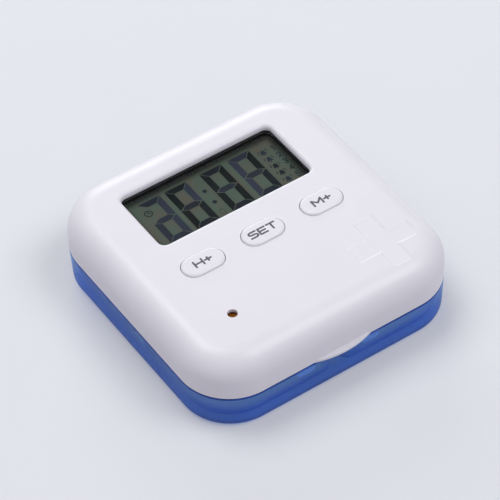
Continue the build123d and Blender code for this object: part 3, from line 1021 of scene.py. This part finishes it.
    def bell(self, centre: tuple[float, float]) -> list[np.ndarray]:
        """A small alarm bell: a dome on a flared skirt, a clapper below and a sound arc at each side.

        Args:
            centre: the bell's middle.

        Returns:
            Convex outlines.
        """
        dome = np.array([*arc((0, 0.2), 0.48, 0, 180, 10), (-0.55, -0.3), (0.55, -0.3)])
        skirt = np.array([(-0.8, -0.57), (0.8, -0.57), (0.55, -0.3), (-0.55, -0.3)])
        clapper = disc((0, -0.8), 0.17, 10)
        sound = [stroke(arc((0, 0.1), 1.0, turn - 25, turn + 25, 6), self.sound_stroke) for turn in (15, 165)]
        shapes = [anticlockwise(dome), anticlockwise(skirt), clapper, *sound[0], *sound[1]]
        return [np.array(centre) + self.bell_size * np.asarray(shape) for shape in shapes]

    def clock(self, centre: tuple[float, float]) -> list[np.ndarray]:
        """A small clock face: a ring with two hands.

        Args:
            centre: the clock's middle.

        Returns:
            Convex outlines.
        """
        x, y = centre
        up, across = self.clock_hands
        ring = stroke(arc(centre, self.clock_radius, 0, 360, DOT_RUNS), self.clock_stroke)
        return ring + stroke([(x, y + up), (x, y), (x + across, y)], self.hand_stroke)

    def battery_mark(self, centre: tuple[float, float]) -> list[np.ndarray]:
        """A small upright cell: an outline with a stub on top.

        Args:
            centre: the mark's middle.

        Returns:
            Convex outlines.
        """
        x, y = centre
        left, right, foot, head = x - 0.6, x + 0.6, y - 0.9, y + 0.7
        case = [(left, foot), (right, foot), (right, head), (left, head), (left, foot)]
        stub = [(x - 0.25, y + 0.95), (x + 0.25, y + 0.95)]
        return stroke(case, self.battery_stroke) + stroke(stub, self.stub_stroke)


def anticlockwise(outline: np.ndarray) -> np.ndarray:
    """Turn an outline so that it runs anticlockwise, by the sign of its shoelace area."""
    x, y = outline[:, 0], outline[:, 1]
    area = np.sum(x * np.roll(y, -1) - np.roll(x, -1) * y)
    return outline if area > 0 else outline[::-1]


@dataclass
class Keypad:
    """The three buttons with the printing on them."""

    legends: dict[str, str] = field(default_factory=lambda: {"hour": "H+", "mode": "SET", "minute": "M+"})
    letter_height: float = 2.05
    letter_width: float = 0.56
    letter_spread: float = 1.45
    print_thickness: float = 0.02

    def build(self, nodes: dict) -> None:
        """Dress the buttons and print them.

        Args:
            nodes: the frame's nodes by name.
        """
        # The caps come from a smoother mould than the shell and shine a little more, the ink is matt, and
        # the switches are dull black
        cap = MouldedPlastic("satin_abs_button", "#EAE9F0", "#E5E4EB", roughness=0.28)
        dress(nodes, cap, *(f"{name}_button" for name in self.legends))
        switch = MouldedPlastic("black_nylon_switch", "#18181A", "#222226", roughness=0.55)
        dress(nodes, switch, *(f"{name}_{part}" for name in self.legends for part in ("switch", "plunger")))
        ink = MouldedPlastic("pad_printed_grey_ink", "#5B5A66", "#53525F", 1.0, roughness=0.55).build()
        for name, legend in self.legends.items():
            low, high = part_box(f"{name}_button")
            centre = ((low[0] + high[0]) / 2 / MM, (low[1] + high[1]) / 2 / MM)
            face = high[2] / MM
            outlines = lettering(legend, centre, self.letter_height, self.letter_width, self.letter_spread)
            points, faces = pads(outlines, face - self.print_thickness, face + self.print_thickness / 2)
            piece = put_mesh(f"{name}_legend", points, faces)
            piece.data.materials.append(ink)
            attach(piece, f"{name}_key")
            log.info("%s_legend: %d strokes", name, len(outlines))


@dataclass
class Casing:
    """The white lid shell, its inner cover and the blue tray with its hinge pin."""

    def build(self, nodes: dict) -> None:
        """Dress the casing's nodes.

        Args:
            nodes: the frame's nodes by name.
        """
        # ABS from an eroded mould is satin: it spreads highlights and mirrors nothing. The cover and the cap
        # are a little greyer and duller, and the ground pin mirrors softly
        shell = MouldedPlastic("satin_white_abs", "#E9E8EF", "#E4E3EA", 18.0, 0.5, roughness=0.36)
        dress(nodes, shell, "top_housing")
        cover = MouldedPlastic("satin_white_abs_cover", "#E0E0E6", "#D6D6DD", 12.0, 0.5, roughness=0.42)
        dress(nodes, cover, "inner_cover", "battery_cap")
        dress(nodes, TintedPlastic("translucent_blue_styrene"), "tray")
        steel = Metal("bright_steel_pin", "#B9BABB", "#A3A4A6", roughness=0.25)
        dress(nodes, steel, "hinge_pin")


@dataclass
class Electronics:
    """The board with its parts, the sounder, the cell, the contacts and the screws."""

    def build(self, nodes: dict) -> None:
        """Dress the electronic nodes.

        Args:
            nodes: the frame's nodes by name.
        """
        # Cured solder mask and resin shine, and fired ceramic and insulation are dull
        mask = MouldedPlastic("green_solder_mask", "#1B5A36", "#154A2C", 3.0, 0.6, roughness=0.3)
        dress(nodes, mask, "circuit_board")
        resin = MouldedPlastic("black_epoxy_resin", "#0C0C0D", "#151517", 2.0, 0.6, roughness=0.2)
        dress(nodes, resin, "chip_blob")
        fired = MouldedPlastic("fired_ceramic_chip", "#8A745A", "#6E5B46", 0.8, 0.8, roughness=0.5)
        dress(nodes, fired, "board_components")
        silvered = MouldedPlastic("silvered_ceramic", "#D2CFC6", "#BEBAB0", 2.0, 0.6, roughness=0.45)
        dress(nodes, silvered, "piezo_ceramic")
        insulation = MouldedPlastic("red_pvc_insulation", "#A3201C", "#8C1814", 2.0, 0.5, roughness=0.45)
        dress(nodes, insulation, "piezo_leads")
        # Rolled brass is warm with a soft rub, and drawn or plated nickel, zinc and steel mirror more
        dress(nodes, Metal("brass_sheet", "#9A5E24", "#713D14", roughness=0.4), "piezo_disc")
        dress(nodes, Metal("drawn_nickel_can", "#C4C2BC", "#B0AEA8", roughness=0.22), "quartz_crystal")
        dress(nodes, Metal("stainless_cell_can", "#C9C9C8", "#B5B5B5", roughness=0.22), "coin_cell")
        spring = Metal("nickel_plated_spring", "#C6C3BA", "#ADAAA2", roughness=0.28)
        dress(nodes, spring, "negative_contact", "positive_contact")
        screw = Metal("zinc_plated_screw", "#B5B7B9", "#9C9EA1", roughness=0.3)
        dress(nodes, screw, "cover_screws", "board_screws")


@dataclass(frozen=True)
class Softbox:
    """A square area lamp: its place and side in metres and its power in watts."""

    name: str
    place: tuple[float, float, float]
    size: float
    power: float


# The key lamp is high behind the object, the back lamp low behind it and the side lamp to its right,
# all clear of what the window mirrors
SOFTBOXES = (
    Softbox("key_softbox", (-0.16, 0.42, 1.05), 0.6, 5.2),
    Softbox("back_softbox", (0.40, 0.95, 0.38), 0.5, 3.4),
    Softbox("side_softbox", (0.50, -0.48, 1.10), 0.6, 5.2),
)


@dataclass
class Studio:
    """The camera at the photograph's viewpoint, soft lamps, a pale world and a plain floor.

    Angles are degrees. The camera's distance, the height that it aims at and the floor's gap below the
    object are millimetres, and the floor's size is metres.
    """

    azimuth: float = 33.188
    elevation: float = 46.951
    roll: float = -1.906
    focal_px: float = 2780.9
    frame_px: float = 500.0
    shift_px: tuple[float, float] = (5.04, 2.974)
    distance: float = 737.0
    aim_z: float = 12.0
    sensor: float = 36.0
    clip_start: float = 0.01
    floor_size: float = 4.0
    floor_gap: float = 0.02
    backdrop_colour: str = "#DCE1E9"
    surround_colour: str = "#EDEBF3"
    surround: float = 0.54
    panel_light: float = 0.1
    panel_core: float = 25.0
    panel_edge: float = 60.0

    def build(self) -> None:
        """Set up the whole studio."""
        self.camera()
        self.lamps()
        self.world()
        self.floor()

    def camera(self) -> None:
        """Place the camera: it looks ahead from its aim minus distance times ahead, and is rolled."""
        az, el, roll = (math.radians(v) for v in (self.azimuth, self.elevation, self.roll))
        ahead = Vector((math.sin(az) * math.cos(el), math.cos(az) * math.cos(el), -math.sin(el)))
        right = Vector((math.cos(az), -math.sin(az), 0))
        up = right.cross(ahead)
        across = right * math.cos(roll) + up * math.sin(roll)
        upright = up * math.cos(roll) - right * math.sin(roll)
        place = Vector((0, 0, self.aim_z * MM)) - ahead * self.distance * MM
        data = bpy.data.cameras.new("camera")
        data.sensor_width = self.sensor
        data.lens = self.focal_px / self.frame_px * self.sensor
        data.shift_x = -self.shift_px[0] / self.frame_px
        data.shift_y = self.shift_px[1] / self.frame_px
        data.clip_start = self.clip_start
        camera = bpy.data.objects.new("camera", data)
        turn = Matrix((across, upright, -ahead)).transposed()
        camera.matrix_world = Matrix.Translation(place) @ turn.to_4x4()
        bpy.context.scene.collection.objects.link(camera)
        bpy.context.scene.camera = camera

    def lamps(self) -> None:
        """Hang the soft square lamps, each aimed at the object."""
        for lamp in SOFTBOXES:
            data = bpy.data.lights.new(lamp.name, "AREA")
            data.size = lamp.size
            data.energy = lamp.power
            thing = bpy.data.objects.new(lamp.name, data)
            thing.location = lamp.place
            thing.rotation_euler = (-Vector(lamp.place)).to_track_quat("-Z", "Y").to_euler()
            bpy.context.scene.collection.objects.link(thing)

    def world(self) -> None:
        """A pale surround with a dark panel where the flat window mirrors it to the camera.

        Its strength falls by a smooth step of the cosine between a direction and the panel's middle.
        """
        az, el = math.radians(self.azimuth), math.radians(self.elevation)
        panel = (math.sin(az) * math.cos(el), math.cos(az) * math.cos(el), math.sin(el))
        world = bpy.data.worlds.new("pale_surround")
        world.use_nodes = True
        tree = world.node_tree
        tree.nodes.clear()
        place = add_node(tree, "ShaderNodeTexCoord")
        cosine = add_node(
            tree,
            "ShaderNodeVectorMath",
            {"operation": "DOT_PRODUCT", 1: panel},
            {0: place.outputs["Generated"]},
        )
        strength = add_node(
            tree,
            "ShaderNodeMapRange",
            {
                "interpolation_type": "SMOOTHSTEP",
                "From Min": math.cos(math.radians(self.panel_edge)),
                "From Max": math.cos(math.radians(self.panel_core)),
                "To Min": self.surround,
                "To Max": self.panel_light,
            },
            {"Value": cosine.outputs["Value"]},
        )
        light = add_node(
            tree,
            "ShaderNodeBackground",
            {"Color": linear(self.surround_colour)},
            {"Strength": strength.outputs["Result"]},
        )
        seen = add_node(
            tree,
            "ShaderNodeBackground",
            {"Color": linear(self.backdrop_colour), "Strength": 1.0},
        )
        mix = add_node(
            tree,
            "ShaderNodeMixShader",
            None,
            {0: ray_is(tree, "Camera"), 1: light.outputs[0], 2: seen.outputs[0]},
        )
        output = add_node(tree, "ShaderNodeOutputWorld")
        tree.links.new(mix.outputs[0], output.inputs["Surface"])
        bpy.context.scene.world = world

    def floor(self) -> None:
        """Lay a plain pale floor just below the object."""
        half, low = self.floor_size / 2, -self.floor_gap * MM
        corners = np.array([(-half, -half, low), (half, -half, low), (half, half, low), (-half, half, low)])
        floor = put_mesh("floor", corners, [[0, 1, 2, 3]])
        floor.data.materials.append(PaintedTable("painted_table").build())


def main() -> None:
    """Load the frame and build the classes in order."""
    logging.basicConfig(level=logging.INFO, format="%(name)s: %(message)s")
    scene = bpy.context.scene
    for thing in list(bpy.data.objects):
        bpy.data.objects.remove(thing)
    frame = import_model()
    scene.view_settings.view_transform = "Standard"
    nodes = frame["nodes"]
    Studio().build()
    Casing().build(nodes)
    Display().build(nodes, "lid")
    Keypad().build(nodes)
    Electronics().build(nodes)


if __name__ == "__main__":
    main()
